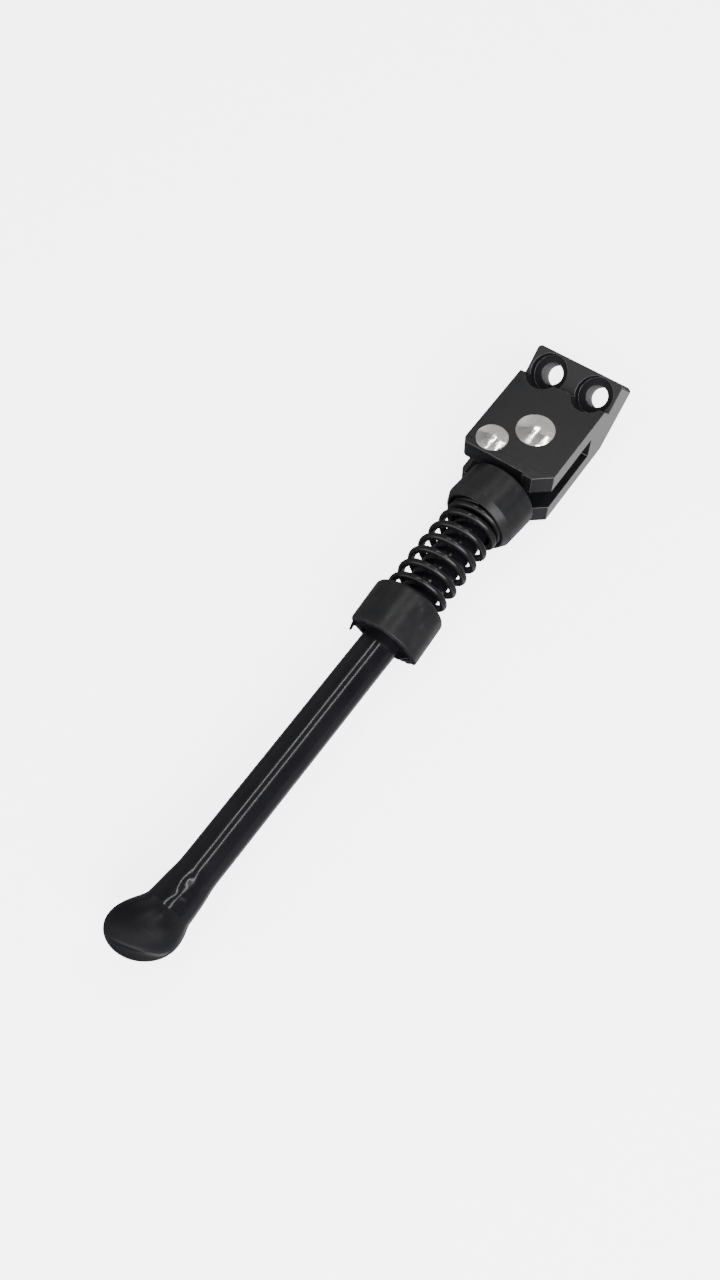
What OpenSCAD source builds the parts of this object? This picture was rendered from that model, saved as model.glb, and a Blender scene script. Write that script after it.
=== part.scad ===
// Spring-loaded kickstand for an electric scooter: a slotted bracket with two screw holes,
// two rivets, and a leg that folds in the slot. A cup on the leg is pushed up by a coil
// spring, which stands on a second cup near the middle of the leg. The leg ends in a foot.
// X is the side the leg folds to, -Y is along the leg, and Z is square to the cheeks.
// The origin is on the tilted mounting face, midway between the two screw holes.

/* [Bracket] */
// Width of the bracket across both cheeks
bracket_w = 29; // [27:0.5:34]
// From the pivot to the side that the leg folds to
fold_side = 13.3; // [12.6:0.1:14.5]
// Thickness of the bracket over both cheeks
bracket_t = 21.4; // [19.5:0.1:24]
// From the pivot to the straight lower end of the cheeks
cheek_drop = 14.8; // [13.5:0.1:15]
// From the pivot to the upper end of the cheeks' outer face
cheek_rise = 16.8; // [16:0.1:19]
// Radius of the cheeks' lower corner on the stop side
corner_r = 2; // [0.5:0.1:4]
// How far the nose stands below the straight lower end
nose_h = 0.6; // [0.2:0.1:0.8]
// Width of the nose
nose_w = 3; // [2:0.1:4]
// Width of the cut-off corner beside the nose
chamfer_w = 5; // [4:0.1:6]
// Height of the cut-off corner beside the nose
chamfer_h = 4; // [3:0.1:5]

/* [Slot] */
// Side play of the leg's flat end in the slot
slot_play = 0.1; // [0.05:0.05:0.3]
// Space between the leg's round end and the bottom of the slot
slot_end_gap = 2.8; // [1:0.1:4]

/* [Mounting flange] */
// Tilt of the flange out of the plane of the cheeks
flange_tilt = 40; // [30:1:45]
// Thickness of the flange
flange_t = 13.1; // [11:0.1:15]
// Length of the flange's upper face
flange_len = 9.2; // [8:0.1:12]
// Height of the step from the flange up to the cheek
flange_step = 5.8; // [4:0.1:7]
// Radius of the flange's lower end edge
flange_edge_r = 1.2; // [0.4:0.1:2]
// Radius of the flange's two end corners
flange_corner_r = 1.4; // [0.4:0.1:3]
// Diameter of the screw holes, clearance for M6
screw_d = 6.6; // [5.5:0.1:7]
// Diameter of the counterbores for the screw heads
counterbore_d = 11.4; // [9.5:0.1:12]
// Depth of the counterbores
counterbore_depth = 4.4; // [3:0.1:7]
// Distance between the two screw holes
screw_spacing = 15.6; // [14:0.1:17]
// From the holes' centres to the end of the flange
screw_edge = 6.3; // [6.1:0.1:7]

/* [Rivets] */
// Diameter of the pivot rivet's shank
pivot_d = 8; // [6:0.1:9]
// Diameter of the pivot rivet's heads
pivot_head_d = 11.5; // [10.5:0.1:13]
// Height of the pivot rivet's heads
pivot_head_h = 1.1; // [0.6:0.1:1.6]
// Diameter of the stop rivet's shank
stop_d = 5.5; // [4.5:0.1:6]
// Diameter of the stop rivet's heads
stop_head_d = 9.5; // [8:0.1:10]
// Height of the stop rivet's heads
stop_head_h = 1; // [0.6:0.1:1.4]
// How far the stop rivet lies below the pivot
stop_drop = 9.3; // [8.5:0.1:9.8]
// Radial play of the leg on the pivot rivet
pivot_play = 0.05; // [0.02:0.01:0.1]
// Play between the leg's flank and the stop rivet
stop_play = 0.2; // [0.1:0.05:0.4]

/* [Leg] */
// Diameter of the steel rod in the spring and the cups
rod_d = 11; // [10:0.1:11.4]
// Diameter of the rod where the coat covers it
core_d = 10; // [8.5:0.1:10.5]
// Thickness of the leg's flat end in the slot
tang_t = 8; // [7:0.1:9]
// Width of the leg's flat end
tang_w = 12; // [11.6:0.1:12.6]
// Radius of the leg's round end about the pivot
eye_r = 8.5; // [7:0.1:9]
// From the pivot to the end of the steel rod
rod_len = 172; // [160:1:178]
// Thickness of the plastic coat on the rod
coat_t = 0.5; // [0.3:0.1:0.8]
// From the cross pin down to the shoulder where the coat begins
coat_drop = 1; // [0.5:0.1:2]

/* [Foot] */
// Length of the leg from the pivot to the tip of the foot
leg_len = 183.5; // [180:0.1:195]
// Radius of the foot
foot_r = 8.9; // [8:0.1:11]
// How much the foot swells for each millimetre of its neck
neck_slope = 0.08; // [0.05:0.01:0.2]
// Length of the neck from the straight leg to the middle of the foot
neck_len = 21; // [16:0.5:26]
// Sideways lean of the foot for each millimetre of its length
foot_lean = 0.26; // [0:0.01:0.3]

/* [Upper cup] */
// Outer diameter of the upper cup
cup_d = 23; // [22:0.1:25]
// Height of the upper cup
cup_h = 12.6; // [11:0.1:15]
// Bore of the upper cup, which rides loosely on the rod
cup_bore_d = 12.7; // [12.5:0.1:13]
// Depth of the cup's spring seat
cup_seat_depth = 3.2; // [2:0.1:5]
// Wall of the cup round the spring seat
cup_wall = 1.8; // [1.2:0.1:2.2]
// Height of the chamfer round the cup's lower edge
cup_chamfer_h = 2.3; // [1:0.1:3]
// Width of the chamfer round the cup's lower edge
cup_chamfer_w = 1.2; // [0.5:0.1:1.4]
// Angle at which the loose cup leans on the rod
cup_lean = 5.4; // [0:0.1:6]
// Least space between the cheeks' corner and the cup as the leg folds
cam_gap = 0.2; // [0.1:0.05:0.6]

/* [Spring] */
// Diameter of the spring wire
wire_d = 1.8; // [1.4:0.1:2]
// Outer diameter of the spring
spring_d = 17.5; // [16:0.1:17.9]
// Number of turns of the spring
spring_turns = 9.3; // [7:0.1:10]
// Rise of each open turn
spring_pitch = 5.1; // [4.2:0.05:5.6]
// Number of closed turns at each end
closed_turns = 1.1; // [0.5:0.1:1.5]
// Space between the spring's ends and their seats
seat_gap = 0.25; // [0.1:0.05:0.5]

/* [Lower cup] */
// Outer diameter of the lower cup
collar_d = 22; // [21:0.1:24]
// Height of the lower cup
collar_h = 14.6; // [13:0.1:16]
// Depth of the lower cup's spring seat
collar_seat_depth = 4.1; // [3:0.1:5]
// Thickness of the web between the seat and the hollow underneath
collar_web = 3.3; // [2:0.1:4]
// Wall of the lower cup
collar_wall = 1.9; // [1.2:0.1:2.2]
// Radius of the lower cup's upper edge
collar_round = 1.6; // [0.5:0.1:1.8]
// Play of the lower cup on the rod
collar_play = 0.3; // [0.3:0.05:0.6]
// Angle at which the lower cup leans towards its front
collar_tip = 2.6; // [0:0.1:3]
// Angle at which the lower cup leans to the stop side
collar_lean = 1.9; // [0:0.1:3]
// Diameter of the cross pin under the web
pin_d = 3; // [2:0.1:3.2]

/* [Hidden] */
$fn = 96;
past = 1;

// Bracket, measured from the pivot with Y up the bracket
half_t = bracket_t / 2;
stop_side = bracket_w - fold_side;
mid_x = (fold_side - stop_side) / 2;
slot_t = tang_t + 2 * slot_play;
slot_top = eye_r + slot_end_gap;
step_foot = [cheek_rise + flange_step * sin(flange_tilt), half_t - flange_step * cos(flange_tilt)];
flange_tip = step_foot + flange_len * [cos(flange_tilt), sin(flange_tilt)];
flange_heel = flange_tip + flange_t * [sin(flange_tilt), -cos(flange_tilt)];
bend_y = flange_heel[0] - (flange_heel[1] + half_t) / tan(flange_tilt);
screw_line = flange_tip - screw_edge * [cos(flange_tilt), sin(flange_tilt)];
face_centre = screw_line + flange_t * [sin(flange_tilt), -cos(flange_tilt)];
origin = [mid_x, face_centre[0], face_centre[1]];

// How much wider a rounding is cut, so that it meets its faces in a faint edge
arris = 0.02;

// Stop rivet, beside the leg's flank
stop_x = -(tang_w / 2 + stop_play + stop_d / 2);

// Upper cup: the cheeks' outermost corner clears the cup's leaning top as the leg folds
cam_corner = [fold_side - chamfer_w, cheek_drop + nose_h];
cup_top = norm(cam_corner) + cam_gap;
cup_mid = cup_top + cup_h / 2;
cup_seat_r = cup_d / 2 - cup_wall;
shoulder_drop = cup_top - tan(cup_lean) * tang_w / 2 - cam_gap;
flat_drop = cup_top + 0.5;

// Spring, from the seat in the upper cup to the seat in the lower one
coil_r = (spring_d - wire_d) / 2;
seat_tilt = tan(cup_lean) * spring_d / 2;
spring_top = cup_top + cup_h - cup_seat_depth + seat_tilt + seat_gap;
closed_pitch = wire_d + 0.1;
ramp_turns = 1;
wire_sides = 10;
turn_rings = 26;

// Distance along the spring after t turns, with each end easing from closed to open turns
function eased(t) =
    t < closed_turns ? 0 :
    t < closed_turns + ramp_turns ? pow(t - closed_turns, 2) / (2 * ramp_turns) :
    t - closed_turns - ramp_turns / 2;
function open_turns(t) =
    t < spring_turns / 2 ? eased(t) :
    2 * eased(spring_turns / 2) - eased(spring_turns - t);
function spring_rise(t) = closed_pitch * t + (spring_pitch - closed_pitch) * open_turns(t);
spring_len = spring_rise(spring_turns) + wire_d;

// Lower cup
collar_slant = tan(norm([collar_tip, collar_lean]));
collar_top = spring_top + spring_len + seat_gap + collar_slant * spring_d / 2 - collar_seat_depth;
collar_mid = collar_top + collar_h / 2;
collar_bore_r = rod_d / 2 + collar_play;
collar_inner_r = collar_d / 2 - collar_wall;
pin_len = 2 * collar_inner_r - 1.6;
web_bottom = collar_top + collar_seat_depth + collar_web;
pin_drop = web_bottom + pin_d / 2 + collar_slant * pin_len / 2;
// Torn stretches of the lower rim: start angle, end angle and depth
torn_rim = [[118, 150, 0.4], [188, 216, 1.2], [208, 246, 1.9], [238, 264, 1]];

// Coat, with its torn upper web across the mouth of the lower cup
coat_r = core_d / 2 + coat_t;
coat_top = pin_drop + pin_d / 2 + coat_drop;
web_t = 0.6;
web_inset = 0.5;
// Reach of the torn web past the coat at equal steps round the leg
torn_web = [3.1, 2.6, 2.9, 2.4, 2.8, 2.2, 2.9, 3.1, 2.3, 3.1, 1.3, 0.9, 1.4, 2.6, 3, 2.4, 2.9, 3];
// Torn strip hanging from the web beside the leg
strip_x = 8.2;
strip_w = 1.4;
strip_len = 2.6;

// Foot, a smooth swelling of the coat that leans to the stop side and starts at a faint step
foot_step = 0.1;
foot_half = foot_r * 0.87;
foot_mid = leg_len - foot_half;
neck_start = foot_mid - neck_len;
lean_start = foot_mid - 0.8 * foot_r;
blend = 0.8;
lean_blend = 2.4;
foot_sides = 40;
foot_rings = 44;

function neck_r(s) = coat_r + neck_slope * (s - neck_start);
function ball_r(s) =
    s < foot_mid - foot_r ? 0 :
    s < foot_mid ? sqrt(foot_r * foot_r - pow(s - foot_mid, 2)) :
    foot_r * sqrt(max(0, 1 - pow((s - foot_mid) / foot_half, 2)));
function smooth_max(a, b) = (a + b + sqrt(pow(a - b, 2) + blend * blend)) / 2;
function foot_swell(s) = s < foot_mid ? smooth_max(neck_r(s), ball_r(s)) : ball_r(s);
function foot_radius(s) =
    let (k = min(1, (s - neck_start) / (0.35 * neck_len)))
    foot_step + (k < 1 ? coat_r + (foot_swell(s) - coat_r) * k * k * (3 - 2 * k) : foot_swell(s));
function foot_shift(s) =
    -foot_lean * (s - lean_start + sqrt(pow(s - lean_start, 2) + lean_blend * lean_blend)) / 2
    + foot_lean * (neck_start - lean_start
    + sqrt(pow(neck_start - lean_start, 2) + lean_blend * lean_blend)) / 2;

// Moves what is measured from the pivot to the part's origin
module from_pivot() {
    translate(-origin) children();
}

// Turns what is drawn along Z so that it runs down the leg from the distance s
module down_leg(s = 0) {
    translate([0, -s, 0]) rotate([90, 0, 0]) children();
}

// Leans what is drawn with the lower cup, at a distance down the leg from the cup's middle
module in_lower_cup(s) {
    translate([0, -collar_mid, 0]) rotate([collar_tip, 0, collar_lean])
        translate([0, -s, 0]) children();
}

// Places what is drawn along Z at both screw holes, square to the flange
module at_screws() {
    for (side = [-1, 1])
        translate([mid_x + side * screw_spacing / 2, screw_line[0], screw_line[1]])
            rotate([flange_tilt, 0, 0]) children();
}

// Outline of the cheeks seen along the rivets
module cheek_outline() {
    far = flange_heel[0] + past;
    low = -cheek_drop;
    nose_x = fold_side - chamfer_w;
    difference() {
        polygon([
            [-stop_side, far],
            [-stop_side, low],
            [nose_x - nose_w - nose_h, low],
            [nose_x - nose_w, low - nose_h],
            [nose_x, low - nose_h],
            [fold_side, low - nose_h + chamfer_h],
            [fold_side, far]
        ]);
        translate([-stop_side, low]) difference() {
            translate([-past, -past]) square(corner_r + past);
            translate([corner_r, corner_r]) circle(corner_r);
        }
    }
}

// What a rounding takes off the corner at the origin, below and to the right of it
module corner_cut(r) {
    difference() {
        translate([-past, -r]) square(r + past);
        translate([r, -r]) circle(r + arris);
    }
}

// Side profile of the bracket: the block and the tilted flange
module side_profile() {
    low = -cheek_drop - nose_h - past;
    edge = flange_edge_r;
    difference() {
        polygon([
            [low, -half_t],
            [bend_y, -half_t],
            flange_heel,
            flange_tip,
            step_foot,
            [cheek_rise, half_t],
            [low, half_t]
        ]);
        translate(flange_heel) rotate(flange_tilt + 90) difference() {
            translate([-past, -past]) square(edge + past);
            translate([edge, edge]) circle(edge + arris);
        }
    }
}

module bracket() {
    color([0.12, 0.12, 0.13]) from_pivot() difference() {
        intersection() {
            translate([0, 0, -half_t]) linear_extrude(bracket_t + flange_t) cheek_outline();
            translate([-stop_side, 0, 0]) rotate([90, 0, 90])
                linear_extrude(bracket_w) side_profile();
        }
        // slot for the leg
        translate([-stop_side - past, -cheek_drop - nose_h - past, -slot_t / 2])
            cube([bracket_w + 2 * past, slot_top + cheek_drop + nose_h + past, slot_t]);
        // rivet holes
        cylinder(h = bracket_t + 2 * past, d = pivot_d, center = true);
        translate([stop_x, -stop_drop, 0])
            cylinder(h = bracket_t + 2 * past, d = stop_d, center = true);
        // screw holes and their counterbores
        at_screws() translate([0, 0, -flange_t - past])
            cylinder(h = flange_t + 2 * past, d = screw_d);
        at_screws() translate([0, 0, -counterbore_depth])
            cylinder(h = counterbore_depth + bracket_t, d = counterbore_d);
        // rounded end corners of the flange
        for (side = [0, 1]) translate([mid_x, flange_tip[0], flange_tip[1]]) mirror([side, 0, 0])
            rotate([flange_tilt, 0, 0]) translate([-bracket_w / 2, 0, -flange_t - past])
                linear_extrude(flange_t + 2 * past) corner_cut(flange_corner_r);
    }
}

// Shank through both cheeks with a low dome on each end
module rivet(shank_d, head_d, head_h) {
    dome_r = (pow(head_d / 2, 2) + head_h * head_h) / (2 * head_h);
    rotate_extrude() {
        translate([0, -half_t]) square([shank_d / 2, bracket_t]);
        for (end = [0, 1]) mirror([0, end]) translate([0, half_t]) intersection() {
            translate([0, head_h - dome_r]) circle(dome_r, $fn = 360);
            square([head_d / 2, head_h]);
        }
    }
}

module pivot_rivet() {
    color([0.78, 0.77, 0.74]) from_pivot() rivet(pivot_d, pivot_head_d, pivot_head_h);
}

module stop_rivet() {
    color([0.78, 0.77, 0.74]) from_pivot() translate([stop_x, -stop_drop, 0])
        rivet(stop_d, stop_head_d, stop_head_h);
}

// Steel rod whose upper end is pressed flat and drilled for the pivot
module leg_rod() {
    color([0.08, 0.08, 0.09]) from_pivot() difference() {
        union() {
            cylinder(h = tang_t, r = eye_r, center = true);
            translate([-tang_w / 2, -shoulder_drop, -tang_t / 2])
                cube([tang_w, shoulder_drop, tang_t]);
            down_leg(shoulder_drop - past) cylinder(h = coat_top - shoulder_drop + past, d = rod_d);
            down_leg(coat_top - past) cylinder(h = rod_len - coat_top + past, d = core_d);
        }
        // flats that run down into the upper cup
        for (side = [-1, 1])
            translate([-rod_d, -flat_drop, side * (tang_t + rod_d) / 2 - rod_d / 2])
                cube([2 * rod_d, flat_drop, rod_d]);
        cylinder(h = tang_t + 2 * past, r = pivot_d / 2 + pivot_play, center = true);
        down_leg(pin_drop) rotate([0, 90, 0])
            cylinder(h = rod_d + 2 * past, d = pin_d, center = true);
    }
}

// Ragged web left where the coat tore away from the lower cup
module torn_coat_web() {
    steps = len(torn_web);
    down_leg(-web_t / 2) linear_extrude(web_t) polygon([
        for (i = [0 : steps - 1])
            let (a = 360 * i / steps, r = coat_r + torn_web[i])
            [r * cos(a), r * sin(a)]
    ]);
    translate([0, 0, -web_t]) linear_extrude(2 * web_t) polygon([
        [-strip_x, 0],
        [-strip_x + strip_w, 0],
        [-strip_x - 0.3, -strip_len]
    ]);
}

// Skin of the foot: rings along the leg, closed at both ends
module foot() {
    rings = [
        for (i = [0 : foot_rings])
            let (s = neck_start + (leg_len - neck_start) * sin(90 * i / foot_rings))
            let (r = i == foot_rings ? 0.4 : foot_radius(s))
            [for (j = [0 : foot_sides - 1])
                let (a = 360 * j / foot_sides)
                [foot_shift(s) + r * cos(a), -s, r * sin(a)]]
    ];
    points = [for (ring = rings) for (p = ring) p];
    walls = [
        for (i = [0 : foot_rings - 1]) for (j = [0 : foot_sides - 1])
            let (n = (j + 1) % foot_sides, a = i * foot_sides, b = (i + 1) * foot_sides)
            [a + j, b + j, b + n, a + n]
    ];
    top = [for (j = [0 : foot_sides - 1]) j];
    tip = [for (j = [foot_sides - 1 : -1 : 0]) foot_rings * foot_sides + j];
    polyhedron(points, concat(walls, [top, tip]), convexity = 4);
}

module leg_coating() {
    color([0.07, 0.07, 0.08]) from_pivot() difference() {
        union() {
            down_leg(coat_top) cylinder(h = neck_start + past / 2 - coat_top, r = coat_r);
            in_lower_cup(collar_h / 2 - web_inset - web_t) torn_coat_web();
            foot();
        }
        down_leg(coat_top - past) cylinder(h = rod_len - coat_top + past, d = core_d);
    }
}

// Half section of the upper cup, drawn from its top face down
module cup_section() {
    difference() {
        polygon([
            [0, 0],
            [cup_d / 2 - 0.3, 0],
            [cup_d / 2, 0.3],
            [cup_d / 2, cup_h - cup_chamfer_h],
            [cup_d / 2 - cup_chamfer_w, cup_h],
            [0, cup_h]
        ]);
        translate([-past, -past]) square([cup_bore_d / 2 + past, cup_h + 2 * past]);
        translate([-past, cup_h - cup_seat_depth])
            square([cup_seat_r + past, cup_seat_depth + past]);
    }
}

module upper_cup() {
    color([0.15, 0.15, 0.16]) from_pivot() translate([0, -cup_mid, 0]) rotate([0, 0, -cup_lean])
        down_leg(-cup_h / 2) rotate_extrude() cup_section();
}

// Spring wire swept along the coil, closed at both ends
module spring() {
    total = ceil(spring_turns * turn_rings);
    rings = [
        for (i = [0 : total])
            let (t = spring_turns * i / total, a = 180 + 360 * (t - 0.25))
            let (s = spring_top + wire_d / 2 + spring_rise(t))
            [for (j = [0 : wire_sides - 1])
                let (b = 360 * j / wire_sides, r = coil_r + wire_d / 2 * cos(b))
                [r * cos(a), -s + wire_d / 2 * sin(b), r * sin(a)]]
    ];
    points = [for (ring = rings) for (p = ring) p];
    walls = [
        for (i = [0 : total - 1]) for (j = [0 : wire_sides - 1])
            let (n = (j + 1) % wire_sides, a = i * wire_sides, b = (i + 1) * wire_sides)
            [a + j, b + j, b + n, a + n]
    ];
    first = [for (j = [0 : wire_sides - 1]) j];
    last = [for (j = [wire_sides - 1 : -1 : 0]) total * wire_sides + j];
    color([0.1, 0.1, 0.1]) from_pivot()
        polyhedron(points, concat(walls, [first, last]), convexity = 10);
}

// Half section of the lower cup, drawn from its top rim down
module collar_section() {
    difference() {
        union() {
            translate([0, collar_round]) square([collar_d / 2, collar_h - collar_round]);
            square([collar_d / 2 - collar_round, collar_h]);
            translate([collar_d / 2 - collar_round, collar_round]) circle(collar_round);
        }
        translate([-past, -past]) square([collar_bore_r + past, collar_h + 2 * past]);
        translate([-past, -past]) square([collar_inner_r + past, collar_seat_depth + past]);
        translate([-past, collar_seat_depth + collar_web])
            square([collar_inner_r + past, collar_h]);
    }
}

module lower_cup() {
    color([0.14, 0.14, 0.15]) from_pivot() in_lower_cup(0) down_leg(-collar_h / 2) difference() {
        rotate_extrude() collar_section();
        for (bite = torn_rim) rotate(bite[0]) translate([0, 0, collar_h - bite[2]])
            rotate_extrude(angle = bite[1] - bite[0])
                translate([collar_inner_r - past, 0]) square([collar_wall + 2 * past, bite[2] + past]);
    }
}

module cross_pin() {
    color([0.35, 0.35, 0.36]) from_pivot() down_leg(pin_drop) rotate([0, 90, 0])
        cylinder(h = pin_len, d = pin_d, center = true);
}

bracket();
pivot_rivet();
stop_rivet();
leg_rod();
leg_coating();
upper_cup();
spring();
lower_cup();
cross_pin();
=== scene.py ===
import math

import bmesh
import bpy
from mathutils import Matrix, Vector, noise


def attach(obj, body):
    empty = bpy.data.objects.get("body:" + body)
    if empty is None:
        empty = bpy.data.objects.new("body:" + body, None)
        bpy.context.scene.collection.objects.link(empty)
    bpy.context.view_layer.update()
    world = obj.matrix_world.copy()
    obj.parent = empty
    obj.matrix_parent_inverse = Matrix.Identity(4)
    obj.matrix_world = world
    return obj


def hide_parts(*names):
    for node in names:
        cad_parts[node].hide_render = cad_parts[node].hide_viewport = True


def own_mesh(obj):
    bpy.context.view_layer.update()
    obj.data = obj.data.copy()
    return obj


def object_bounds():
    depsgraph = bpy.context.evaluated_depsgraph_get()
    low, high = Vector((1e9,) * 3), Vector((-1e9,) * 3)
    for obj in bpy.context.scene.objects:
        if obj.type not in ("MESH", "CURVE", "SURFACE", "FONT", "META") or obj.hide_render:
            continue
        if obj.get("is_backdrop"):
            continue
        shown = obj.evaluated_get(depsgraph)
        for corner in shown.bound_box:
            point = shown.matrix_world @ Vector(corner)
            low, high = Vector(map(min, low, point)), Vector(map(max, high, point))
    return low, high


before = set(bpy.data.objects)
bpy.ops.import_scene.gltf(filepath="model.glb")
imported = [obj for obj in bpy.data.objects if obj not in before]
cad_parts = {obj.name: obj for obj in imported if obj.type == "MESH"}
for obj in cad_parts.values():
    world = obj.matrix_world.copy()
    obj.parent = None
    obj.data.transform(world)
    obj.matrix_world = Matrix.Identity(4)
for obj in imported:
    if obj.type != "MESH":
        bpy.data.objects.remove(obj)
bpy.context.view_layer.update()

# Bracket: a fork of black finished aluminium with a slot for the leg and a tilted flange.
# It is machined from the solid, its arrises are lightly broken, and two screws hold it
# through the counterbored holes in the flange.

mm = 0.001
pivot = Vector((1.2, -31.170, 1.914)) * mm
flange_tilt, hole_offset, side_from = math.radians(40), 7.8, 14.4
bore_reach, counterbore_reach = 3.5, 5.85
seat_height, seat_top, wall_top = 8.5, 9.0, 30.0
slot_half = 5.0


def new_finish(name, colour, metallic=0.0, roughness=0.4, gloss=0.5):
    """An empty finish: the shader with the values that are the same all over"""
    finish = bpy.data.materials.new(name)
    finish.use_nodes = True
    shader = finish.node_tree.nodes["Principled BSDF"]
    shader.inputs["Base Color"].default_value = (*colour, 1)
    shader.inputs["Metallic"].default_value = metallic
    shader.inputs["Roughness"].default_value = roughness
    shader.inputs["Specular IOR Level"].default_value = gloss
    return finish


def pattern(finish, size, stretch=(1, 1, 1), detail=4.0, turn=(0, 0, 0)):
    """A noise on Object coordinates; size is that of one patch in millimetres"""
    nodes, links = finish.node_tree.nodes, finish.node_tree.links
    place = nodes.new("ShaderNodeTexCoord")
    mapping = nodes.new("ShaderNodeMapping")
    mapping.inputs["Scale"].default_value = [k / (size * mm) for k in stretch]
    mapping.inputs["Rotation"].default_value = turn
    links.new(place.outputs["Object"], mapping.inputs["Vector"])
    texture = nodes.new("ShaderNodeTexNoise")
    texture.inputs["Detail"].default_value = detail
    texture.inputs["Scale"].default_value = 1.0
    links.new(mapping.outputs["Vector"], texture.inputs["Vector"])
    return texture.outputs["Fac"]


def ramp(finish, value, stops):
    """Turns a pattern's value into a colour or a grey through the given stops"""
    node = finish.node_tree.nodes.new("ShaderNodeValToRGB")
    elements = node.color_ramp.elements
    while len(elements) < len(stops):
        elements.new(0.5)
    for element, (position, shade) in zip(elements, stops):
        element.position = position
        element.color = (*shade, 1) if isinstance(shade, tuple) else (shade, shade, shade, 1)
    finish.node_tree.links.new(value, node.inputs["Fac"])
    return node.outputs["Color"]


def drive(finish, socket, value):
    """Feeds a pattern into one of the shader's sockets"""
    shader = finish.node_tree.nodes["Principled BSDF"]
    finish.node_tree.links.new(value, shader.inputs[socket])


def relief(finish, layers):
    """Bump from several patterns, each with its height in millimetres and its strength"""
    nodes, links = finish.node_tree.nodes, finish.node_tree.links
    below = None
    for value, height, strength in layers:
        bump = nodes.new("ShaderNodeBump")
        bump.inputs["Distance"].default_value = height * mm
        bump.inputs["Strength"].default_value = strength
        links.new(value, bump.inputs["Height"])
        if below:
            links.new(below, bump.inputs["Normal"])
        below = bump.outputs["Normal"]
    drive(finish, "Normal", below)


def as_object(name, mesh):
    """A mesh shown as an object at the origin"""
    piece = bpy.data.objects.new(name, mesh)
    bpy.context.scene.collection.objects.link(piece)
    return piece


def baked(piece, place=None):
    """Makes what the modifiers give the piece's plain mesh, in its place, faces outwards"""
    evaluated = piece.evaluated_get(bpy.context.evaluated_depsgraph_get())
    mesh = bpy.data.meshes.new_from_object(evaluated)
    piece.modifiers.clear()
    piece.data = mesh
    if place:
        mesh.transform(place)
    body = bmesh.new()
    body.from_mesh(mesh)
    bmesh.ops.recalc_face_normals(body, faces=body.faces)
    body.to_mesh(mesh)
    body.free()
    return piece


def softened_copy(node, name, width, finishes):
    """A rigid CAD solid with its arrises broken; its wide faces stay flat to their edges"""
    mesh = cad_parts[node].data.copy()
    mesh.materials.clear()
    body = bmesh.new()
    body.from_mesh(mesh)
    bmesh.ops.remove_doubles(body, verts=body.verts, dist=0.001 * mm)
    flat_within = math.radians(0.6)
    bmesh.ops.dissolve_limit(body, angle_limit=flat_within, verts=body.verts, edges=body.edges)
    body.to_mesh(mesh)
    body.free()
    for finish in finishes:
        mesh.materials.append(finish)
    piece = as_object(name, mesh)
    bevel = piece.modifiers.new("arrises", "BEVEL")
    bevel.width = width * mm
    bevel.segments = 3
    bevel.limit_method = "ANGLE"
    bevel.angle_limit = math.radians(30)
    # The bevel strips take the last finish; on the bracket that is the lighter arris grey, partly
    # wear and partly a painted highlight.
    bevel.material = len(finishes) - 1
    baked(piece)
    mesh = piece.data
    mesh.shade_smooth()
    mesh.set_sharp_from_angle(angle=math.radians(42))
    crisp = mesh.attributes["sharp_edge"].data
    for face in mesh.polygons:
        wide_from = 18 if len(face.vertices) < 6 else 2
        if face.area > wide_from * mm * mm:
            for loop in face.loop_indices:
                crisp[mesh.loops[loop].edge_index].value = True
    return piece


black_bracket = new_finish("black_bracket", (0.005, 0.005, 0.006), roughness=0.36, gloss=0.17)
fine = pattern(black_bracket, 0.25, detail=3)
cloudy = pattern(black_bracket, 7)
drive(black_bracket, "Base Color", ramp(black_bracket, cloudy, [
    (0.3, (0.004, 0.004, 0.0045)), (0.7, (0.006, 0.006, 0.0065))]))
drive(black_bracket, "Roughness", ramp(black_bracket, cloudy, [(0.3, 0.30), (0.7, 0.38)]))
relief(black_bracket, [(fine, 0.01, 0.5)])

# The broken arrises are painted a lighter grey: partly wear, partly a painted highlight along the
# edges.
arris_wear_and_highlight = new_finish("arris_wear_and_highlight", (0.05, 0.05, 0.05), roughness=0.32)
arris_tone = pattern(arris_wear_and_highlight, 1.2)
drive(arris_wear_and_highlight, "Base Color", ramp(arris_wear_and_highlight, arris_tone, [(0.35, 0.01), (0.7, 0.045)]))

# A duller copy of the bracket's finish, which mirrors less, is painted shade in the counterbores,
# on the slot's end wall and on the chamfer faces.
bracket_painted_shade = new_finish("bracket_painted_shade", (0.006, 0.006, 0.007), roughness=0.5, gloss=0.08)
# A lighter copy is painted light on the screw bores' walls, where light comes up through the holes.
bore_painted_light = new_finish("bore_painted_light", (0.07, 0.07, 0.072), roughness=0.6, gloss=0.3)
# Another lighter copy is a painted reflection on the bracket's outer sides.
side_painted_reflection = new_finish("side_painted_reflection", (0.045, 0.045, 0.046), roughness=0.4, gloss=0.5)
for finish in (bracket_painted_shade, bore_painted_light):
    relief(finish, [(pattern(finish, 0.3, stretch=(1, 1, 3)), 0.03, 0.7)])

fork_finishes = [black_bracket, bracket_painted_shade, bore_painted_light, side_painted_reflection, arris_wear_and_highlight]
bracket = softened_copy("bracket", "bracket_fork", 0.3, fork_finishes)
hole_axis = Vector((0, -math.sin(flange_tilt), math.cos(flange_tilt)))


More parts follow.
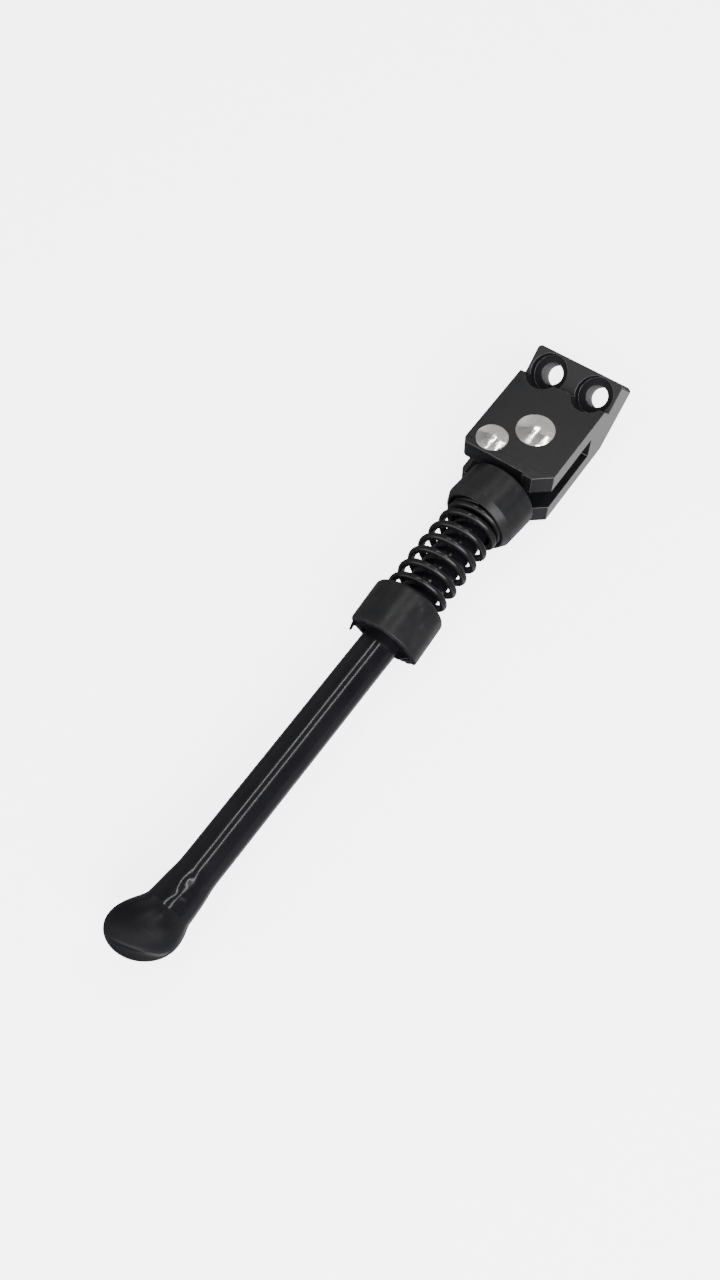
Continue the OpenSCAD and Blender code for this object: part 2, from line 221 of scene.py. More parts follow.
def fork_finish(face):
    """Which copy of the bracket's finish one face gets, by where it lies and which way it looks:
    painted reflection on the outer sides, painted light in the bores, painted shade in the recesses
    and on the chamfers
    """
    near = Vector((abs(face.center.x) - hole_offset * mm, face.center.y, face.center.z))
    height = near.dot(hole_axis)
    reach = (near - height * hole_axis).length
    level = abs(face.normal.dot(hole_axis)) > 0.9
    # The outer sides get the painted reflection.
    if abs(face.normal.x) > 0.98 and abs(face.center.x) > side_from * mm:
        return side_painted_reflection
    # The bore walls get the painted light.
    if reach < bore_reach * mm and not level:
        return bore_painted_light
    top = seat_top if level else wall_top
    # The counterbores' seats and walls get the painted shade.
    if reach < counterbore_reach * mm and seat_height * mm < height < top * mm:
        return bracket_painted_shade
    # So do the slot's end wall and the chamfer faces, as painted shade.
    in_slot = face.normal.y < -0.9 and abs(face.center.z - pivot.z) < slot_half * mm
    chamfered = -0.9 < face.normal.y < -0.5
    if abs(face.normal.z) < 0.2 and (chamfered or in_slot):
        return bracket_painted_shade
    return black_bracket


for face in bracket.data.polygons:
    if face.material_index == 0:
        face.material_index = fork_finishes.index(fork_finish(face))
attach(bracket, "bracket")
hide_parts("bracket")

# Rivets: two nickel-plated steel rivets, the pivot and the stop. Their shanks pass through
# both cheeks, and their low round heads are peened over, which leaves shallow flats.

pivot_head, pivot_rise, pivot_shank = 11.5, 1.1, 8.0
stop_head, stop_rise, stop_shank = 9.5, 1.0, 5.5
stop_place = Vector((-8.95, -9.3, 0))
cheek_half = 10.7
head_steps = 22
sides = 96


def socket(tree, name, kind, value=None):
    """A named input of a Geometry Nodes tree; gives back its identifier"""
    made = tree.interface.new_socket(name, in_out="INPUT", socket_type="NodeSocket" + kind)
    if value is not None:
        made.default_value = value
    return made.identifier


def lathe_tree():
    """Turns a half profile, drawn as one line in X and Z, round the Z axis, then dents it"""
    tree = bpy.data.node_groups.new("turned_round", "GeometryNodeTree")
    ids = {
        "Profile": socket(tree, "Profile", "Geometry"),
        "Sides": socket(tree, "Sides", "Int", sides),
        "Dent depth": socket(tree, "Dent depth", "Float", 0.0),
        "Dent size": socket(tree, "Dent size", "Float", 0.002),
        "Dent seed": socket(tree, "Dent seed", "Float", 0.0),
        "Finish": socket(tree, "Finish", "Material"),
    }
    tree.interface.new_socket("Piece", in_out="OUTPUT", socket_type="NodeSocketGeometry")
    nodes, link = tree.nodes, tree.links.new
    given = nodes.new("NodeGroupInput")
    out = nodes.new("NodeGroupOutput")

    def math_node(operation, a, b=None):
        node = nodes.new("ShaderNodeMath")
        node.operation = operation
        for index, value in enumerate((a, b)):
            if value is None:
                continue
            if isinstance(value, (int, float)):
                node.inputs[index].default_value = value
            else:
                link(value, node.inputs[index])
        return node.outputs[0]

    count = nodes.new("GeometryNodeAttributeDomainSize")
    link(given.outputs["Profile"], count.inputs["Geometry"])
    points = count.outputs["Point Count"]
    grid = nodes.new("GeometryNodeMeshGrid")
    link(math_node("ADD", given.outputs["Sides"], 1), grid.inputs["Vertices X"])
    link(points, grid.inputs["Vertices Y"])
    index = nodes.new("GeometryNodeInputIndex").outputs["Index"]
    turn = math_node("FLOOR", math_node("DIVIDE", math_node("ADD", index, 0.5), points))
    along = math_node("SUBTRACT", index, math_node("MULTIPLY", turn, points))
    angle = math_node("DIVIDE", math_node("MULTIPLY", turn, 2 * math.pi), given.outputs["Sides"])
    sample = nodes.new("GeometryNodeSampleIndex")
    sample.data_type = "FLOAT_VECTOR"
    link(given.outputs["Profile"], sample.inputs["Geometry"])
    link(nodes.new("GeometryNodeInputPosition").outputs["Position"], sample.inputs["Value"])
    link(along, sample.inputs["Index"])
    spin = nodes.new("ShaderNodeVectorRotate")
    spin.rotation_type = "Z_AXIS"
    link(sample.outputs["Value"], spin.inputs["Vector"])
    link(angle, spin.inputs["Angle"])
    place = nodes.new("GeometryNodeSetPosition")
    link(grid.outputs["Mesh"], place.inputs["Geometry"])
    link(spin.outputs["Vector"], place.inputs["Position"])
    merge = nodes.new("GeometryNodeMergeByDistance")
    merge.inputs["Distance"].default_value = 0.002 * mm
    link(place.outputs["Geometry"], merge.inputs["Geometry"])

    shape = nodes.new("ShaderNodeTexNoise")
    shape.noise_dimensions = "4D"
    shape.inputs["Detail"].default_value = 1.0
    link(math_node("DIVIDE", 1.0, given.outputs["Dent size"]), shape.inputs["Scale"])
    link(given.outputs["Dent seed"], shape.inputs["W"])
    depth = math_node("MULTIPLY", math_node("SUBTRACT", shape.outputs["Fac"], 0.62),
                      given.outputs["Dent depth"])
    push = nodes.new("ShaderNodeVectorMath")
    push.operation = "SCALE"
    link(nodes.new("GeometryNodeInputNormal").outputs["Normal"], push.inputs[0])
    link(depth, push.inputs["Scale"])
    dent = nodes.new("GeometryNodeSetPosition")
    link(merge.outputs["Geometry"], dent.inputs["Geometry"])
    link(push.outputs["Vector"], dent.inputs["Offset"])
    smooth = nodes.new("GeometryNodeSetShadeSmooth")
    link(dent.outputs["Geometry"], smooth.inputs["Geometry"])
    real = nodes.new("GeometryNodeRealizeInstances")
    link(smooth.outputs["Geometry"], real.inputs["Geometry"])
    paint = nodes.new("GeometryNodeSetMaterial")
    link(real.outputs["Geometry"], paint.inputs["Geometry"])
    link(given.outputs["Finish"], paint.inputs["Material"])
    link(paint.outputs["Geometry"], out.inputs[0])
    return tree, ids


turned_round, lathe_ids = lathe_tree()


def rounded(corners, steps=5):
    """A line through (radius, height, rounding) corners in millimetres, arcs at the corners"""
    line = []
    for i, (x, z, r) in enumerate(corners):
        here = Vector((x, z))
        if r <= 0 or i in (0, len(corners) - 1):
            line.append(here)
            continue
        before = Vector(corners[i - 1][:2]) - here
        after = Vector(corners[i + 1][:2]) - here
        half = before.angle(after) / 2
        back = min(r / math.tan(half), before.length * 0.49, after.length * 0.49)
        start, end = here + before.normalized() * back, here + after.normalized() * back
        for k in range(steps + 1):
            t = k / steps
            line.append((1 - t) ** 2 * start + 2 * t * (1 - t) * here + t * t * end)
    return line


def turned(name, line, finish, place, dent):
    """A piece made on the lathe from its half profile; dent is depth, size and seed"""
    mesh = bpy.data.meshes.new(name)
    mesh.from_pydata([(p.x * mm, 0, p.y * mm) for p in line],
                     [(i, i + 1) for i in range(len(line) - 1)], [])
    piece = as_object(name, mesh)
    lathe = piece.modifiers.new("lathe", "NODES")
    lathe.node_group = turned_round
    lathe[lathe_ids["Sides"]] = sides
    lathe[lathe_ids["Dent depth"]] = dent[0] * mm
    lathe[lathe_ids["Dent size"]] = dent[1] * mm
    lathe[lathe_ids["Dent seed"]] = float(dent[2])
    lathe[lathe_ids["Finish"]] = finish
    baked(piece, place)
    piece.data.set_sharp_from_angle(angle=math.radians(40))
    return piece


def rivet_line(head, rise, shank):
    """Half profile of a rivet: a low dome, its thin rim, the shank, and the same again"""
    dome = (head * head / 4 + rise * rise) / (2 * rise)
    top = []
    for k in range(head_steps + 1):
        x = head / 2 * k / head_steps
        top.append((x, cheek_half + rise - dome + math.sqrt(dome * dome - x * x)))
    top.append((head / 2, cheek_half))
    top.append((shank / 2, cheek_half))
    return [Vector(p) for p in top] + [Vector((x, -z)) for x, z in reversed(top)]


bright_rivet = new_finish("bright_rivet", (0.66, 0.64, 0.61), metallic=1.0, roughness=0.14)
hazy = pattern(bright_rivet, 3)
drive(bright_rivet, "Roughness", ramp(bright_rivet, hazy, [(0.35, 0.10), (0.7, 0.22)]))
drive(bright_rivet, "Base Color", ramp(bright_rivet, hazy, [
    (0.3, (0.84, 0.82, 0.79)), (0.75, (0.70, 0.67, 0.63))]))
brushed = pattern(bright_rivet, 1.4, stretch=(1, 5, 1), turn=(0, 0, 0.6))
relief(bright_rivet, [(brushed, 0.02, 0.3)])

for name, head, rise, shank, at, dent in (
        ("pivot_rivet", pivot_head, pivot_rise, pivot_shank, Vector(), (0.32, 3.4, 1.7)),
        ("stop_rivet", stop_head, stop_rise, stop_shank, stop_place, (0.32, 3.0, 5.1))):
    rivet = turned(name + "_peened", rivet_line(head, rise, shank), bright_rivet,
                   Matrix.Translation(pivot + at * mm), dent)
    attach(rivet, "bracket")
    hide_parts(name)

# Leg rod: round steel painted black, its upper end pressed flat and drilled for the pivot.
# It turns on the pivot rivet, and the two cups and the spring sit on it.

black_steel = new_finish("black_steel", (0.003, 0.003, 0.004), roughness=0.2, gloss=0.15)
runs = pattern(black_steel, 3)
drive(black_steel, "Roughness", ramp(black_steel, runs, [(0.35, 0.12), (0.7, 0.22)]))
relief(black_steel, [(pattern(black_steel, 1.8), 0.03, 0.4)])

rod = softened_copy("leg_rod", "leg_rod_flattened", 0.4, [black_steel])
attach(rod, "leg")
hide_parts("leg_rod")

# Coat and foot: one skin of glossy black plastic dipped over the rod. It ends in a swollen
# foot that leans to the stop side, wrinkles at its neck, and it is torn under the lower cup.

rod_radius, coat_radius = 5.0, 5.5
coat_top, leg_end, rod_end = 75.73, 183.5, 172.0
foot_radius, neck_slope, neck_length, foot_lean = 8.97, 0.08, 21.0, 0.26
foot_half = foot_radius * 0.87
foot_mid = leg_end - foot_half
neck_start = foot_mid - neck_length
lean_start = foot_mid - 0.8 * foot_radius
lean_blend, fillet = 2.4, 2.6
wrinkle_depth, wrinkle_place, wrinkle_length = 0.35, 162.5, 4.5
wrinkle_angle, wrinkle_width = 1.3, 0.7
fold_place, fold_middle, fold_slant, fold_sag = 182.1, -4.6, 0.29, 0.45
fold_ridge, fold_step, fold_half = 0.18, 0.40, 5.5
dull_from, dull_over = 167.0, 10.0
round_steps, foot_rings, coat_rings = 96, 110, 70


def smooth_max(a, b, blend=fillet):
    """The larger of two radii, with a fillet where they are nearly the same"""
    overlap = max(0, blend - abs(a - b)) / blend
    return max(a, b) + overlap * overlap * blend / 4


def skin_radius(s):
    """Radius of the coat and foot at the distance s down the leg, in millimetres"""
    if s <= neck_start:
        return coat_radius
    if s < foot_mid:
        ball = math.sqrt(max(0, foot_radius ** 2 - (s - foot_mid) ** 2))
        swell = smooth_max(coat_radius + neck_slope * (s - neck_start), ball)
    else:
        swell = foot_radius * math.sqrt(max(0, 1 - ((s - foot_mid) / foot_half) ** 2))
    k = min(1, (s - neck_start) / (0.35 * neck_length))
    return coat_radius + (swell - coat_radius) * k * k * (3 - 2 * k)


def skin_shift(s):
    """How far the foot's middle line has moved to the stop side at the distance s"""
    if s <= neck_start:
        return 0
    onset, here = (x + math.sqrt(x * x + lean_blend * lean_blend)
                   for x in (neck_start - lean_start, s - lean_start))
    return -foot_lean * (here - onset) / 2


def wrinkle(s, angle):
    """Shallow folds where the dipped plastic shrank, on the front of the foot's neck"""
    along = math.exp(-((s - wrinkle_place) / wrinkle_length) ** 2)
    across = math.exp(-((angle - wrinkle_angle) / wrinkle_width) ** 2)
    fold = noise.noise(Vector((s * 0.4, angle * 2.0, 0)))
    slow = noise.noise(Vector((s * 0.05, math.cos(angle) * 0.6, math.sin(angle) * 0.6 + 9)))
    return wrinkle_depth * along * across * fold + 0.04 * slow


def past_crease(x, s, z):
    """How far a point lies past the fold across the front of the foot near its tip"""
    return s - (fold_place - fold_slant * (x - fold_middle) + fold_sag * (z - 5))


def crease(x, s, z):
    """The fold's ridge and the step behind it, where the skin sits deeper"""
    past = past_crease(x, s, z)
    ridge = fold_ridge * math.exp(-((past + 0.35) / 0.4) ** 2)
    step = -fold_step * min(1, max(0, past / 0.6)) * math.exp(-max(0, past - 1.2))
    fading = min(1, max(0, (z + 1) / 3)) * math.exp(-((x + 0.5) / fold_half) ** 4)
    return (ridge + step) * fading


def coat_mesh():
    """The skin in rings from the lower cup to the foot's tip, closed by the rod's bore"""
    mesh = bpy.data.meshes.new("coat")
    rings = [coat_top + 0.01]
    rings += [coat_top + (neck_start - coat_top) * k / coat_rings for k in range(1, coat_rings)]
    rings += [neck_start + (leg_end - neck_start) * math.sin(math.pi / 2 * k / foot_rings)
              for k in range(foot_rings)]
    points, dulled = [], []
    for s in rings:
        for j in range(round_steps):
            a = 2 * math.pi * j / round_steps
            r = skin_radius(s)
            r += wrinkle(s, a) * min(1, r / 4)
            if s > foot_mid:
                r = max(0.05, r + crease(skin_shift(s) + r * math.cos(a), s, r * math.sin(a)))
            x, z = skin_shift(s) + r * math.cos(a), r * math.sin(a)
            points.append((x, -s, z))
            t = min(1, max(0, (s - dull_from) / dull_over))
            lit = math.exp(-((past_crease(x, s, z) - 0.1) / 0.9) ** 2) if z > 0 else 0
            dulled.append(t * t * (3 - 2 * t) * (1 - lit))
    faces = []
    count = len(rings)
    for i in range(count - 1):
        for j in range(round_steps):
            n = (j + 1) % round_steps
            faces.append((i * round_steps + j, (i + 1) * round_steps + j,
                          (i + 1) * round_steps + n, i * round_steps + n))
    tip = len(points)
    points.append((skin_shift(leg_end), -leg_end, 0))
    last = (count - 1) * round_steps
    faces += [(last + j, tip, last + (j + 1) % round_steps) for j in range(round_steps)]
    bore = len(points)
    for s in (coat_top, rod_end):
        points += [(rod_radius * math.cos(2 * math.pi * j / round_steps), -s,
                    rod_radius * math.sin(2 * math.pi * j / round_steps))
                   for j in range(round_steps)]
    for j in range(round_steps):
        n = (j + 1) % round_steps
        faces.append((j, n, bore + n, bore + j))
        faces.append((bore + j, bore + n, bore + round_steps + n, bore + round_steps + j))
    faces.append(tuple(bore + round_steps + j for j in range(round_steps)))
    mesh.from_pydata([pivot + Vector(p) * mm for p in points], [], faces)
    mesh.attributes.new("dull", "FLOAT", "POINT").data.foreach_set(
        "value", dulled + [0] * (len(points) - len(dulled)))
    body = bmesh.new()
    body.from_mesh(mesh)
    bmesh.ops.recalc_face_normals(body, faces=body.faces)
    body.to_mesh(mesh)
    body.free()
    mesh.shade_smooth()
    mesh.set_sharp_from_angle(angle=math.radians(50))
    return mesh


# The coat is glossy down to its foot, which is matt but for the fold near its tip

glossy_coat = new_finish("glossy_coat", (0.008, 0.008, 0.009), roughness=0.2, gloss=0.25)
dull = glossy_coat.node_tree.nodes.new("ShaderNodeAttribute")
dull.attribute_name = "dull"
for field, bright, matt in (("Roughness", 0.15, 0.5), ("Specular IOR Level", 0.22, 0.04)):
    between = glossy_coat.node_tree.nodes.new("ShaderNodeMapRange")
    glossy_coat.node_tree.links.new(dull.outputs["Fac"], between.inputs["Value"])
    between.inputs["To Min"].default_value = bright
    between.inputs["To Max"].default_value = matt
    drive(glossy_coat, field, between.outputs["Result"])
drive(glossy_coat, "Base Color", ramp(glossy_coat, pattern(glossy_coat, 9), [
    (0.3, (0.0035, 0.0035, 0.0045)), (0.7, (0.0055, 0.0055, 0.0065))]))
relief(glossy_coat, [(pattern(glossy_coat, 6, detail=1), 0.05, 0.3)])

torn_film = new_finish("torn_film", (0.003, 0.003, 0.004), roughness=0.4, gloss=0.1)
relief(torn_film, [(pattern(torn_film, 1.2), 0.25, 0.8)])

coat = as_object("leg_coat_and_foot", coat_mesh())
coat.data.materials.append(glossy_coat)
coat.data.materials.append(torn_film)


def film_slab(body, outline, thickness, place):
    """A torn piece of film: a flat outline in millimetres given a thickness, set in place"""
    rims = [[body.verts.new(place @ (Vector((x, y, h)) * mm)) for x, y in outline]
            for h in (0, thickness)]
    walls = [(rims[0][k - 1], rims[0][k], rims[1][k], rims[1][k - 1]) for k in range(len(outline))]
    for corners in (rims[0], rims[1][::-1], *walls):
        body.faces.new(corners).material_index = 1


# The film across the lower cup's mouth, short and ragged at the back where it tore away,
# and the flap and the fringe that hang from it; across and down the leg from the pivot

collar_middle, collar_lean, collar_tip = 71.10, 1.9, 2.6
film_steps, film_reach, film_drop, film_thickness = 72, 9.05, 5.4, 0.6
torn_reach, torn_by, torn_way = 7.2, 1.2, math.radians(255)
shred_thickness, fringe_depth = 0.5, -2.2
flap = [(-10.6, 75.7), (-10.0, 78.1), (-9.5, 79.8), (-8.9, 79.6), (-9.1, 78.1), (-8.2, 77.2),
        (-6.8, 77.7), (-5.5, 78.75), (-4.4, 81.0), (-4.75, 79.1), (-5.3, 76.7), (-7.8, 75.6)]
fringe = [(3.7, 76.8), (5.2, 79.0), (6.3, 78.8), (7.4, 77.8), (8.3, 76.9), (9.6, 76.6),
          (7.6, 75.5)]

collar_stand = (Matrix.Translation(pivot + Vector((0, -collar_middle, 0)) * mm)
                @ Matrix.Rotation(math.radians(collar_lean), 4, "Z")
                @ Matrix.Rotation(math.radians(collar_tip), 4, "X"))
film_edge = []
for k in range(film_steps):
    a = 2 * math.pi * k / film_steps
    reach = film_reach
    if math.cos(a - torn_way) >= 0.1:
        ragged = noise.noise(Vector((3 * math.cos(a), 3 * math.sin(a), 4)))
        reach = torn_reach + torn_by * ragged
    film_edge.append((reach * math.cos(a), reach * math.sin(a)))
film_place = (collar_stand @ Matrix.Rotation(math.radians(90), 4, "X")
              @ Matrix.Translation((0, 0, film_drop * mm)))
shred_place = Matrix.Translation(pivot) @ Matrix.Diagonal((1, -1, 1, 1))
fringe_place = shred_place @ Matrix.Translation((0, 0, fringe_depth * mm))

torn = bmesh.new()
torn.from_mesh(coat.data)
film_slab(torn, film_edge, film_thickness, film_place)
film_slab(torn, flap, shred_thickness, shred_place)
film_slab(torn, fringe, shred_thickness, fringe_place)
bmesh.ops.recalc_face_normals(torn, faces=torn.faces)
torn.to_mesh(coat.data)
torn.free()
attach(coat, "leg")
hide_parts("leg_coating")

# Upper cup: a loose black plastic cup that the spring pushes up against the cheeks' lower
# corner, which gives the leg its click. It has a slack bore and leans on the rod.

cup_width, cup_height, cup_bore, cup_lean = 23.0, 12.6, 12.7, 5.4
cup_seat, cup_wall, cup_cut = 3.2, 1.8, (1.2, 2.3)
cup_middle = 23.99

black_cup = new_finish("black_cup", (0.020, 0.020, 0.021), roughness=0.30, gloss=0.14)
scuff = pattern(black_cup, 2.4, stretch=(1, 0.5, 1), detail=7)
mottle = pattern(black_cup, 6)
drive(black_cup, "Base Color", ramp(black_cup, scuff, [
    (0.35, (0.006, 0.006, 0.0065)), (0.66, (0.009, 0.009, 0.0095)), (0.8, (0.025, 0.025, 0.025))]))
drive(black_cup, "Roughness", ramp(black_cup, mottle, [(0.3, 0.30), (0.7, 0.42)]))
relief(black_cup, [(pattern(black_cup, 3), 0.05, 0.3), (pattern(black_cup, 0.5), 0.01, 0.4)])

half = cup_height / 2
edge = cup_width / 2
cup_line = rounded([
    (cup_bore / 2, half - 6, 0), (cup_bore / 2, half, 0.3), (edge, half, 0.5),
    (edge, cup_cut[1] - half, 0.15), (edge - cup_cut[0], -half, 0.2),
    (edge - cup_wall, -half, 0.15), (edge - cup_wall, cup_seat - half, 0.2),
    (cup_bore / 2, cup_seat - half, 0.2), (cup_bore / 2, half - 6, 0)])
down_leg = Matrix.Rotation(math.radians(-90), 4, "X")
cup_place = (Matrix.Translation(pivot + Vector((0, -cup_middle, 0)) * mm)
             @ Matrix.Rotation(math.radians(-cup_lean), 4, "Z") @ down_leg)
cup_dents = (0.12, 5, 3.3)
cup = turned("upper_cup_turned", cup_line, black_cup, cup_place, cup_dents)
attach(cup, "cup")
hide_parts("upper_cup")

# Spring: black spring wire wound to the right, with a closed turn at each end. It stands between
# the two cups' seats, and the upper cup squeezes it as it moves down; here it is built at one
# length and goes with the leg.

wire, coil_width, turns, pitch, closed, ramp_turns = 1.8, 17.5, 9.3, 5.1, 1.1, 1.0
closed_pitch = wire + 0.1
spring_top = 28.17
wire_swell, coil_swell, coil_bow = 0.15, 0.12, 0.75
steps_a_turn, wire_sides = 48, 20


def open_part(t):
    """Open turns passed after t turns, each end easing from its closed turn"""
    def eased(u):
        if u < closed:
            return 0
        if u < closed + ramp_turns:
            return (u - closed) ** 2 / (2 * ramp_turns)
        return u - closed - ramp_turns / 2
    if t < turns / 2:
        return eased(t)
    return 2 * eased(turns / 2) - eased(turns - t)


def drop(t):
    """How far down the leg the wire has come after t turns"""
    return closed_pitch * t + (pitch - closed_pitch) * open_part(t)


def sweep_tree():
    """Sweeps a round wire along a line and closes both its ends"""
    tree = bpy.data.node_groups.new("wire_along_line", "GeometryNodeTree")
    ids = {
        "Line": socket(tree, "Line", "Geometry"),
        "Wire radius": socket(tree, "Wire radius", "Float", wire / 2 * mm),
        "Wire sides": socket(tree, "Wire sides", "Int", wire_sides),
        "Finish": socket(tree, "Finish", "Material"),
    }
    tree.interface.new_socket("Piece", in_out="OUTPUT", socket_type="NodeSocketGeometry")
    nodes, link = tree.nodes, tree.links.new
    given = nodes.new("NodeGroupInput")
    line = nodes.new("GeometryNodeMeshToCurve")
    link(given.outputs["Line"], line.inputs["Mesh"])
    ring = nodes.new("GeometryNodeCurvePrimitiveCircle")
    link(given.outputs["Wire radius"], ring.inputs["Radius"])
    link(given.outputs["Wire sides"], ring.inputs["Resolution"])
    skin = nodes.new("GeometryNodeCurveToMesh")
    link(line.outputs["Curve"], skin.inputs["Curve"])
    link(ring.outputs["Curve"], skin.inputs["Profile Curve"])
    skin.inputs["Fill Caps"].default_value = True
    smooth = nodes.new("GeometryNodeSetShadeSmooth")
    link(skin.outputs["Mesh"], smooth.inputs["Geometry"])
    real = nodes.new("GeometryNodeRealizeInstances")
    link(smooth.outputs["Geometry"], real.inputs["Geometry"])
    paint = nodes.new("GeometryNodeSetMaterial")
    link(real.outputs["Geometry"], paint.inputs["Geometry"])
    link(given.outputs["Finish"], paint.inputs["Material"])
    link(paint.outputs["Geometry"], nodes.new("NodeGroupOutput").inputs[0])
    return tree, ids


wire_along_line, sweep_ids = sweep_tree()
coil_points = []
coil_steps = math.ceil(turns * steps_a_turn)
for k in range(coil_steps + 1):
    t = turns * k / coil_steps
    a = math.pi + 2 * math.pi * (t - 0.25)
    r = (coil_width - wire) / 2 + coil_swell
    bow = -coil_bow * math.sin(math.pi * t / turns)
    coil_points.append(pivot + mm * Vector((
        r * math.cos(a) + bow, -(spring_top + wire / 2 + drop(t)), r * math.sin(a))))

black_wire = new_finish("black_wire", (0.004, 0.004, 0.004), roughness=0.28, gloss=0.2)
drawn = pattern(black_wire, 1.2)
drive(black_wire, "Roughness", ramp(black_wire, drawn, [(0.35, 0.20), (0.7, 0.32)]))
relief(black_wire, [(drawn, 0.04, 0.4)])

coil_mesh = bpy.data.meshes.new("coil")
coil_mesh.from_pydata(coil_points, [(k, k + 1) for k in range(coil_steps)], [])
spring = as_object("spring_coiled", coil_mesh)
sweep = spring.modifiers.new("sweep", "NODES")
sweep.node_group = wire_along_line
sweep[sweep_ids["Wire radius"]] = (wire / 2 + wire_swell) * mm
sweep[sweep_ids["Wire sides"]] = wire_sides
sweep[sweep_ids["Finish"]] = black_wire
baked(spring)
spring.data.set_sharp_from_angle(angle=math.radians(50))
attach(spring, "leg")
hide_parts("spring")
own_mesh(spring)

# Lower cup: a black plastic cup held on the rod by the cross pin under its web. The spring
# stands in its upper seat. Its lower rim was bonded to the coat and is torn ragged.

collar_width, collar_height = 22.0, 14.6
collar_seat, collar_web, collar_wall, collar_bore = 4.1, 3.3, 1.9, 11.6
collar_round, collar_dents = 1.6, (0.12, 5, 8.1)
tear_zone, tear_grain = 4.0, 0.3
rim_loss = [(-18, 0.9), (0, 0.4), (20, 0.1), (60, 0), (110, 0.1), (118, 0.1), (124, 0.45),
            (148, 0.4), (155, 1.2), (163, 1.9), (180, 2.0), (215, 2.6), (250, 2.3),
            (290, 2.5), (325, 1.7), (342, 0.9)]

half = collar_height / 2
edge = collar_width / 2
inner = edge - collar_wall
collar_line = rounded([
    (collar_bore / 2, half - 6, 0), (collar_bore / 2, half - collar_seat, 0.2),
    (inner, half - collar_seat, 0.3), (inner, half, 0.4), (edge, half, collar_round),
    (edge, -half, 0.35), (inner, -half, 0.2), (inner, half - collar_seat - collar_web, 0.3),
    (collar_bore / 2, half - collar_seat - collar_web, 0.2), (collar_bore / 2, half - 6, 0)])
collar_place = collar_stand @ down_leg
collar = turned("lower_cup_turned", collar_line, black_cup, collar_place, collar_dents)

# The torn rim: what is gone at each angle round the cup, in degrees and millimetres

upright = collar_place.inverted()
for vertex in collar.data.vertices:
    spot = upright @ vertex.co
    turn = math.degrees(math.atan2(-spot.y, spot.x)) % 360
    turn -= 360 if turn > rim_loss[-1][0] else 0
    low = min(1, max(0, (tear_zone - half - spot.z / mm) / tear_zone))
    for (a, lost), (b, next_lost) in zip(rim_loss, rim_loss[1:]):
        if a <= turn <= b:
            lost += (next_lost - lost) * (turn - a) / (b - a)
            grain_there = noise.noise(Vector((turn * 0.15, spot.z * 300, 0)))
            lost += tear_grain * grain_there * min(1, lost)
            spot.z += lost * low * mm
            break
    vertex.co = collar_place @ spot
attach(collar, "leg")
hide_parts("lower_cup")

# Cross pin: plain steel, pressed through the rod under the lower cup's web, which it holds
# up. It is hidden inside the cup's hollow.

plain_steel = new_finish("plain_steel", (0.42, 0.42, 0.43), metallic=1.0, roughness=0.35)
grain = pattern(plain_steel, 0.4, stretch=(0.1, 1, 1))
drive(plain_steel, "Roughness", ramp(plain_steel, grain, [(0.3, 0.28), (0.7, 0.45)]))
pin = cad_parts["cross_pin"]
pin.data.materials.clear()
pin.data.materials.append(plain_steel)

# Studio: a pale floor under the lying leg, a pale room, and soft lights overhead. The two
# strips draw the bright lines that run down the coat.

floor_level = min(corner[2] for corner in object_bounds()) - 0.05 * mm
floor_half = 1.5
leg_middle = pivot + Vector((0, -80, 0)) * mm
floor_mesh = bpy.data.meshes.new("floor")
floor_mesh.from_pydata([(x * floor_half, y * floor_half, floor_level)
                        for x, y in ((-1, -1), (1, -1), (1, 1), (-1, 1))], [], [(0, 1, 2, 3)])
floor = as_object("studio_floor", floor_mesh)
pale = new_finish("pale_floor", (0.90, 0.90, 0.90), roughness=0.8)
glow = pale.node_tree.nodes["Principled BSDF"].inputs
glow["Emission Color"].default_value = (1, 1, 1, 1)
glow["Emission Strength"].default_value = 3.5
floor.data.materials.append(pale)
floor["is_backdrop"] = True


def soft_light(name, way, size, watts, distance=1.0):
    """A rectangular soft light that faces the leg, its long side along Y; sizes in metres"""
    light = bpy.data.lights.new(name, "AREA")
    light.shape = "RECTANGLE"
    light.size, light.size_y = size
    light.energy = watts
    lamp = bpy.data.objects.new(name, light)
    back = Vector(way).normalized()
    across = Vector((0, 1, 0)).cross(back).normalized()
    turn = Matrix((across, back.cross(across), back)).transposed().to_4x4()
    lamp.matrix_world = Matrix.Translation(leg_middle + back * distance) @ turn
    bpy.context.scene.collection.objects.link(lamp)


soft_light("key", (0.8, -0.5, 0.7), (0.9, 0.9), 32, 1.2)
soft_light("first_strip", (0.31, 0.28, 0.95), (0.055, 0.8), 3.5)
soft_light("second_strip", (-0.20, 0.28, 0.95), (0.055, 0.8), 3.5)

# The room: dim overhead, brighter low at both ends, and dark below but for the right side,
# which the black finishes mirror in place of the floor

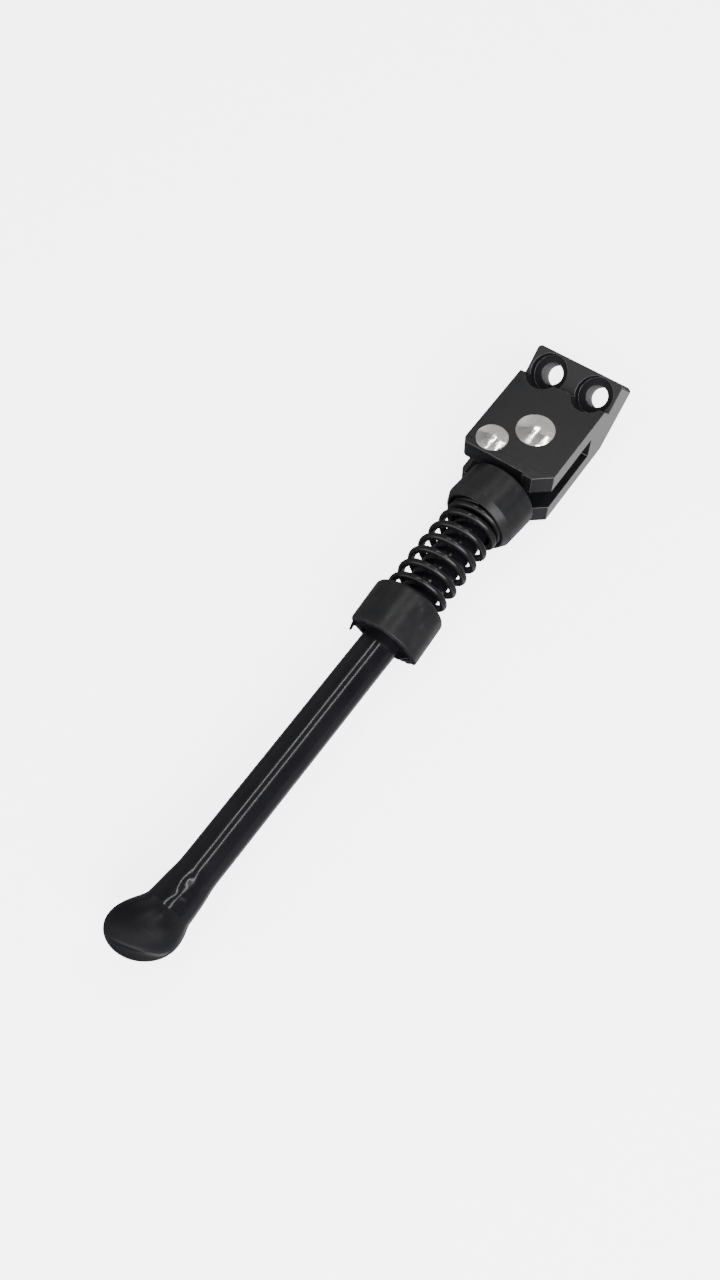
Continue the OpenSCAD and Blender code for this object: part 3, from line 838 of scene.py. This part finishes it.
floor.visible_glossy = False
world = bpy.data.worlds.new("studio_room")
world.use_nodes = True
room, join = world.node_tree.nodes, world.node_tree.links.new
compass = room.new("ShaderNodeSeparateXYZ")
join(room.new("ShaderNodeTexCoord").outputs["Generated"], compass.inputs[0])


def brightness(level, bands):
    """A level of light plus bands: each rises by an amount from one height to another"""
    total = None
    for axis, start, end, amount in bands:
        band = room.new("ShaderNodeMapRange")
        band.interpolation_type = "SMOOTHSTEP"
        join(compass.outputs[axis], band.inputs["Value"])
        for field, value in (("From Min", start), ("From Max", end), ("To Max", amount)):
            band.inputs[field].default_value = value
        step = room.new("ShaderNodeMath")
        step.operation = "ADD"
        step.inputs[1].default_value = level
        join(band.outputs["Result"], step.inputs[0])
        if total:
            join(total, step.inputs[1])
        total = step.outputs[0]
    return total


above = brightness(0.11, [("Y", 0.1, -0.25, 0.3), ("Y", -0.45, -0.75, 4.5),
                          ("Y", 0.42, 0.6, 0.5), ("Z", 0.7, 0.95, 0.2), ("X", -0.3, -0.8, 0.3)])
below = brightness(0.03, [("X", 0.05, 0.35, 1.4), ("X", 0.38, 0.6, -0.9), ("X", -0.25, -0.7, 0.15)])
horizon = brightness(0.0, [("Z", -0.1, 0.15, 1.0)])
blend = room.new("ShaderNodeMix")
join(horizon, blend.inputs["Factor"])
join(below, blend.inputs["A"])
join(above, blend.inputs["B"])
background = world.node_tree.nodes["Background"]
background.inputs["Color"].default_value = (1, 1, 1, 1)
join(blend.outputs["Result"], background.inputs["Strength"])
bpy.context.scene.world = world

# Camera: it stands where the photograph was taken from. Its directions are across the
# picture, up it and back from it.

camera_data = bpy.data.cameras.new("camera")
camera_data.sensor_fit = "AUTO"
camera_data.sensor_width = 36
camera_data.lens = 31.52
camera_data.clip_start = 0.01
camera = bpy.data.objects.new("camera", camera_data)
right = Vector((0.81010, 0.58544, -0.03154))
up = -Vector((0.50771, -0.72741, -0.46163))
back = Vector((0.29320, -0.35795, 0.88651))
stand = Vector((86.42, -222.16, 275.05)) * mm
camera.matrix_world = Matrix.Translation(stand) @ Matrix((right, up, back)).transposed().to_4x4()
bpy.context.scene.collection.objects.link(camera)
bpy.context.scene.camera = camera
